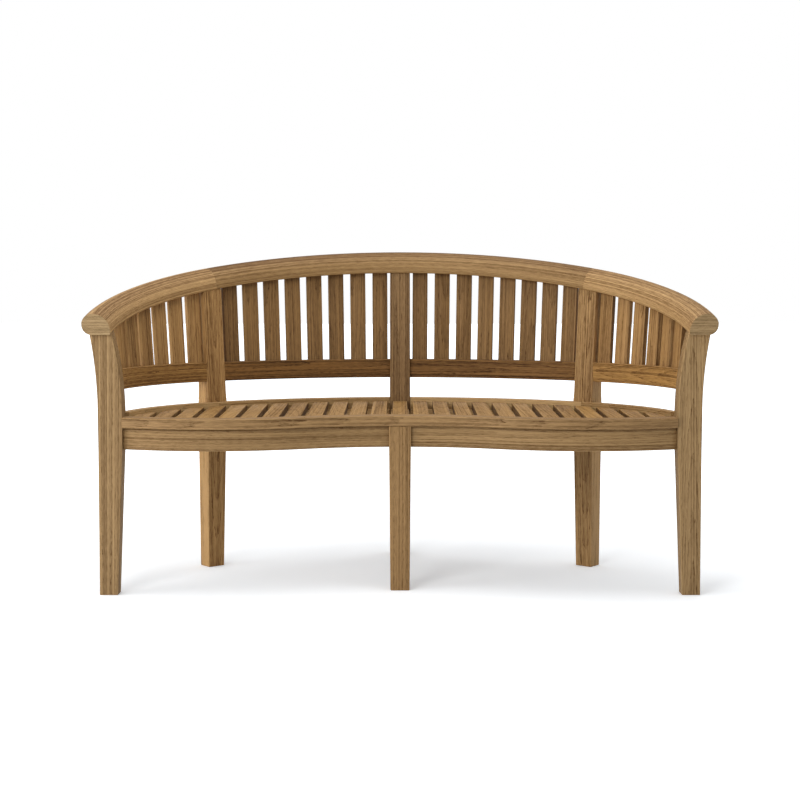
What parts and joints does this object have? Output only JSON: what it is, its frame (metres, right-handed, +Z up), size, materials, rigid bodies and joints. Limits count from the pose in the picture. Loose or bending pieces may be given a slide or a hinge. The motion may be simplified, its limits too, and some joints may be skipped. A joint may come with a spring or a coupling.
{
  "type": "curved garden bench",
  "caption": "Curved teak garden bench with a slatted back that sweeps round into the arms and a slatted seat with a wavy front edge on tapered legs.",
  "frame": {"origin": "on the floor, under the middle of the bench's outline in plan", "axes": "+X to the sitter's left, as seen from the front to the right; -Y towards the front; +Z up"},
  "size_m": [1.545, 0.6692, 0.8504],
  "materials": {
    "teak": "oiled, lightly weathered",
    "steel": "plain"
  },
  "bodies": {
    "root": {"back_post_center": "teak", "back_post_left": "teak", "back_post_right": "teak", "back_slats_left": "teak", "back_slats_right": "teak", "center_bearer": "teak", "cleat_screws": "steel", "front_apron_left": "teak", "front_apron_right": "teak", "front_leg_center": "teak", "front_leg_left": "teak", "front_leg_right": "teak", "joint_pegs": "teak", "lower_back_rail_left": "teak", "lower_back_rail_right": "teak", "lower_side_rail_left": "teak", "lower_side_rail_right": "teak", "rail_splice_tenons": "teak", "seat_back_cleat_left": "teak", "seat_back_cleat_right": "teak", "seat_back_rail_left": "teak", "seat_back_rail_right": "teak", "seat_front_board": "teak", "seat_front_cleat_left": "teak", "seat_front_cleat_right": "teak", "seat_side_cleat_left": "teak", "seat_side_cleat_right": "teak", "seat_side_rail_left": "teak", "seat_side_rail_right": "teak", "seat_slat_01": "teak", "seat_slat_02": "teak", "seat_slat_03": "teak", "seat_slat_04": "teak", "seat_slat_05": "teak", "seat_slat_06": "teak", "seat_slat_07": "teak", "seat_slat_08": "teak", "seat_slat_09": "teak", "seat_slat_10": "teak", "seat_slat_11": "teak", "seat_slat_12": "teak", "seat_slat_13": "teak", "seat_slat_14": "teak", "seat_slat_15": "teak", "seat_slat_16": "teak", "seat_slat_17": "teak", "seat_slat_18": "teak", "seat_slat_19": "teak", "seat_slat_20": "teak", "seat_slat_21": "teak", "seat_slat_22": "teak", "seat_slat_23": "teak", "seat_slat_24": "teak", "seat_slat_25": "teak", "side_slats_left": "teak", "side_slats_right": "teak", "top_rail_center": "teak", "top_rail_left": "teak", "top_rail_right": "teak"}
  },
  "joints": []
}
